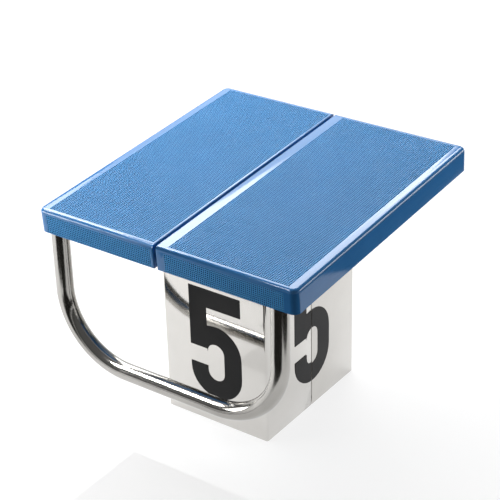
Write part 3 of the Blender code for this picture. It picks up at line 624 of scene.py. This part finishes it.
def make_waffle_blue(name, cloud_scale, dark, light, rough):
    """The waffle's blue, lighter on the ridges as a painted highlight and darker in the pits as painted
    shade: matt, a little cloudy, and faintly rough to the touch.
    """
    material, nodes, links = new_material(name)
    shader = nodes["Principled BSDF"]
    shader.inputs["Specular IOR Level"].default_value = 0.2
    place = object_pattern(nodes, links)
    cloud = noise(nodes, links, place, cloud_scale)
    links.new(tones(nodes, links, cloud, (0.3, dark), (0.7, light)), shader.inputs["Base Color"])
    links.new(spread(nodes, links, noise(nodes, links, place, 60.0), *rough),
              shader.inputs["Roughness"])
    links.new(relief(nodes, links, noise(nodes, links, place, 900.0), 0.0001),
              shader.inputs["Normal"])
    return material


# Lit and shaded copies of one blue: the ridges lighter, a painted highlight, and the pits darker,
# painted shade.
ridge_blue_painted_highlight = make_waffle_blue("ridge_blue_painted_highlight", 9.0, (0.046, 0.285, 0.63), (0.054, 0.310, 0.68),
                              (0.38, 0.50))
pit_blue_painted_shade = make_waffle_blue("pit_blue_painted_shade", 12.0, (0.005, 0.065, 0.22), (0.007, 0.075, 0.25),
                             (0.50, 0.62))


def cut_faces(piece, wanted, axis, cuts):
    """Bisect the faces that pass a test, at places along an axis."""
    line = Vector((0, 0, 0))
    line[axis] = 1
    for cut in cuts:
        pick_faces(piece, wanted)
        bpy.ops.mesh.bisect(plane_co=line * cut, plane_no=line, use_fill=False)


def add_waffle(piece, level, across, along, up, low, high, ridge_half, depth):
    """Sink a grid of square pits into a flat face, between two corners of the field."""
    def on_face(place, normal):
        return abs(place[up] - level) < NEAR and abs(normal[up]) > 0.99

    def in_field(place):
        return (abs(place[up] - level) < NEAR
                and low[0] - NEAR < place[across] < high[0] + NEAR
                and low[1] - NEAR < place[along] < high[1] + NEAR)

    cut_faces(piece, on_face, across, (low[0], high[0]))
    cut_faces(piece, lambda place, normal: on_face(place, normal)
              and low[0] < place[across] < high[0], along, (low[1], high[1]))
    for axis, start, end in ((along, low[1], high[1]), (across, low[0], high[0])):
        count = round((end - start) / PITCH)
        for cuts in ((1, count // 2 - 1) if count > MAX_CUTS else (count - 1,)):
            pick_edges(piece, lambda place, line: in_field(place) and abs(line[axis]) > 0.99)
            bpy.ops.mesh.subdivide(number_cuts=cuts)
    pick_faces(piece, lambda place, normal: in_field(place) and abs(normal[up]) > 0.99)
    # The ridges get the lighter blue as a painted highlight, and the pits the darker blue as painted
    # shade.
    piece.active_material_index = 1
    bpy.ops.object.material_slot_assign()
    bpy.ops.mesh.inset(thickness=ridge_half, use_individual=True)
    piece.active_material_index = 2
    bpy.ops.object.material_slot_assign()
    bpy.ops.mesh.inset(thickness=PIT_SIDE, depth=-depth, use_individual=True)


for side, outer in (("left", -1), ("right", 1)):
    box_low, box_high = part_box(side + "_top_panel")
    x_low, x_high = box_low.x, box_high.x
    panel = add_cube(side + "_panel", (x_low, 0, 0), (x_high, PANEL_DEPTH, PANEL_THICKNESS))
    middle = (x_low + x_high) / 2
    in_edit_mode(panel)
    pick_edges(panel, lambda place, line: abs(line.z) > 0.9 and (place.x - middle) * outer > 0)
    bpy.ops.mesh.bevel(offset=PANEL_CORNER, segments=12, affect="EDGES")
    gap_x = x_low if outer > 0 else x_high
    for beside_gap, share in ((False, 1.0), (True, SEAM_RIM / RIM_RADIUS)):
        pick_edges(panel, lambda place, line: (abs(place.x - gap_x) < NEAR) == beside_gap
                   and (abs(place.z - PANEL_THICKNESS) < NEAR
                        or beside_gap and abs(line.z) > 0.9))
        bpy.ops.transform.edge_bevelweight(value=share)
    apply_modifier(panel, "BEVEL", width=RIM_RADIUS, segments=8, limit_method="WEIGHT",
                   use_clamp_overlap=False)
    in_edit_mode(panel)
    pick_faces(panel, lambda place, normal: normal.z < -0.9)
    bpy.ops.mesh.inset(thickness=PANEL_WALL)
    bpy.ops.mesh.extrude_region_move(
        TRANSFORM_OT_translate={"value": (0, 0, PANEL_THICKNESS - PANEL_WALL)})
    bpy.ops.object.mode_set(mode="OBJECT")

    passage = add_cube("passage", (gap_x - PASSAGE_HALF, PASSAGE_END, -PANEL_WALL),
                       (gap_x + PASSAGE_HALF, PANEL_DEPTH - PASSAGE_END, LIP_LEVEL))
    combine(panel, passage, "DIFFERENCE")
    for x in (x_low + BOSS_INSET, x_high - BOSS_INSET):
        for y in (BOSS_END_INSET, PANEL_DEPTH - BOSS_END_INSET):
            for radius, bottom, top, operation in (
                    (BOSS_RADIUS, BOSS_BOTTOM, BOSS_TOP, "UNION"),
                    (HOLE_RADIUS, BOSS_BOTTOM - PAST_END, HOLE_TOP, "DIFFERENCE")):
                bpy.ops.object.select_all(action="DESELECT")
                bpy.ops.mesh.primitive_cylinder_add(vertices=40, radius=radius,
                                                    depth=top - bottom,
                                                    location=(x, y, (top + bottom) / 2))
                combine(panel, name_new("boss_tool"), operation)

    for blue in (gloss_blue, ridge_blue_painted_highlight, pit_blue_painted_shade):
        panel.data.materials.append(blue)
    in_edit_mode(panel)
    (top_left, top_right), (front_left, front_right) = BORDERS[side]
    add_waffle(panel, PANEL_THICKNESS, 0, 1, 2, (x_low + top_left, TOP_ROWS[0]),
               (x_high - top_right, TOP_ROWS[1]), RIDGE_HALF, PIT_DEPTH)
    add_waffle(panel, 0.0, 0, 2, 1, (x_low + front_left, FRONT_ROWS[0]),
               (x_high - front_right, FRONT_ROWS[1]), FRONT_RIDGE_HALF, FRONT_PIT_DEPTH)
    smooth(panel, 35)
    panel.location = front_edge
    panel.rotation_euler = (TILT, 0, 0)
    bpy.ops.object.transform_apply(location=True, rotation=True, scale=True)
    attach(panel, "block")
    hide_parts(side + "_top_panel")
set_bolts([f"{side}_panel_bolt_{number}" for side in ("left", "right") for number in range(1, 5)])

# ------------------------------------------------------------------ stage, light and camera
# The block stands on a white paper sweep under broad, soft studio light. Black cards on the floor,
# out of sight, darken what the polished steel mirrors and hold back light that the floor throws up.
bpy.ops.object.select_all(action="DESELECT")
bpy.ops.mesh.primitive_plane_add(size=40, location=(0, 0, -0.0002))
floor = name_new("floor")
paper, nodes, links = new_material("paper")
shader = nodes["Principled BSDF"]
links.new(tones(nodes, links, noise(nodes, links, object_pattern(nodes, links), 3.0),
                (0.3, (0.27, 0.27, 0.27)), (0.7, (0.29, 0.29, 0.29))),
          shader.inputs["Base Color"])
shader.inputs["Emission Color"].default_value = (1.0, 1.0, 1.0, 1.0)
shader.inputs["Emission Strength"].default_value = 0.78
shader.inputs["Roughness"].default_value = 0.9
shader.inputs["Specular IOR Level"].default_value = 0.1
floor.data.materials.append(paper)

black_card, nodes, links = new_material("black_card")
nodes["Principled BSDF"].inputs["Base Color"].default_value = (0.022, 0.020, 0.017, 1)
nodes["Principled BSDF"].inputs["Roughness"].default_value = 0.9
nodes["Principled BSDF"].inputs["Specular IOR Level"].default_value = 0.0


def add_card(name, low, high):
    """A black card lying on the floor, hidden from view and casting no shadow."""
    bpy.ops.object.select_all(action="DESELECT")
    bpy.ops.mesh.primitive_plane_add(size=1, location=((low[0] + high[0]) / 2,
                                                       (low[1] + high[1]) / 2, 0.001))
    bpy.context.object.scale = (high[0] - low[0], high[1] - low[1], 1)
    card = name_new(name)
    card.data.materials.append(black_card)
    card.visible_camera = card.visible_shadow = False
    return card


add_card("front_card", (-0.15, -4.0), (3.5, -0.62))
add_card("side_card", (0.78, -0.62), (3.5, 0.1))
add_card("rear_card", (0.70, 0.52), (3.5, 3.0))
add_card("far_card", (-0.58, -4.0), (-0.15, -0.86))
add_card("front_flag", (-0.08, -3.0), (3.0, -0.33)).visible_glossy = False

world = bpy.data.worlds.new("studio")
bpy.context.scene.world = world
world.use_nodes = True
nodes, links = world.node_tree.nodes, world.node_tree.links
direction = nodes.new("ShaderNodeTexCoord")
axes = nodes.new("ShaderNodeSeparateXYZ")
links.new(direction.outputs["Object"], axes.inputs["Vector"])
dome = tones(nodes, links, axes.outputs["Z"], (0.02, (0.09, 0.09, 0.086)),
             (0.30, (0.15, 0.15, 0.15)), (0.75, (0.16, 0.16, 0.16)))
behind = spread(nodes, links, axes.outputs["Y"], 0.0, 1.0, start=-0.1, end=0.3)
low = spread(nodes, links, axes.outputs["Z"], 1.0, 0.0, start=0.16, end=0.32)
sweep = nodes.new("ShaderNodeMath")
sweep.operation = "MULTIPLY"
links.new(behind, sweep.inputs[0])
links.new(low, sweep.inputs[1])
walls = nodes.new("ShaderNodeMix")
walls.data_type = "RGBA"
walls.inputs["B"].default_value = (1.0, 1.0, 1.0, 1.0)
links.new(sweep.outputs["Value"], walls.inputs["Factor"])
links.new(dome, walls.inputs["A"])
seen_directly = nodes.new("ShaderNodeLightPath")
backdrop = nodes.new("ShaderNodeMix")
backdrop.data_type = "RGBA"
backdrop.inputs["B"].default_value = (1.0, 1.0, 1.0, 1.0)
links.new(seen_directly.outputs["Is Camera Ray"], backdrop.inputs["Factor"])
links.new(walls.outputs["Result"], backdrop.inputs["A"])
links.new(backdrop.outputs["Result"], nodes["Background"].inputs["Color"])
nodes["Background"].inputs["Strength"].default_value = 1.0


def add_light(name, place, target, size, power):
    """A soft rectangular lamp, aimed at a point."""
    bpy.ops.object.select_all(action="DESELECT")
    bpy.ops.object.light_add(type="AREA", location=place)
    lamp = bpy.context.object
    lamp.name = name
    lamp.rotation_euler = (Vector(target) - Vector(place)).to_track_quat("-Z", "Y").to_euler()
    lamp.data.shape = "RECTANGLE"
    lamp.data.size, lamp.data.size_y = size
    lamp.data.energy = power
    lamp.visible_camera = False
    return lamp


add_light("back_softbox", (-1.34, 1.83, 2.71), (0, 0, 0.45), (2.6, 1.5), 84)
add_light("back_fill", (-2.7, 3.7, 2.9), (0, 0, 0.45), (2.2, 1.6), 26)
add_light("side_strip", (2.33, 2.43, 1.36), (0, 0, 0.45), (2.0, 0.8), 33)
add_light("front_softbox", (-1.56, -1.40, 2.60), (0, 0, 0.45), (1.4, 0.8),
          100).visible_diffuse = False
add_light("left_softbox", (-1.7, 0.1, 1.8), (-0.1, 0.0, 0.45), (1.0, 1.0), 50)
add_light("left_fill", (-1.25, -1.05, 0.55), (-0.25, -0.3, 0.43), (0.7, 0.5), 13)

azimuth, elevation, roll = math.radians(36.083), math.radians(28.270), math.radians(-1.478)
forward = Vector((-math.sin(azimuth) * math.cos(elevation),
                  math.cos(azimuth) * math.cos(elevation), -math.sin(elevation)))
level_right = forward.cross(Vector((0, 0, 1))).normalized()
level_up = level_right.cross(forward)
right = level_right * math.cos(roll) + level_up * math.sin(roll)
up = level_up * math.cos(roll) - level_right * math.sin(roll)
CAMERA_PLACE = (1.5591, -2.1687, 1.7671)
bpy.ops.object.select_all(action="DESELECT")
bpy.ops.object.camera_add()
camera = bpy.context.object
camera.name = "camera"
camera.matrix_world = Matrix.Translation(CAMERA_PLACE) @ Matrix(
    (right, up, -forward)).transposed().to_4x4()
camera.data.lens = 108.11
camera.data.sensor_width = 36
bpy.context.scene.camera = camera
bpy.context.scene.view_settings.view_transform = "Standard"
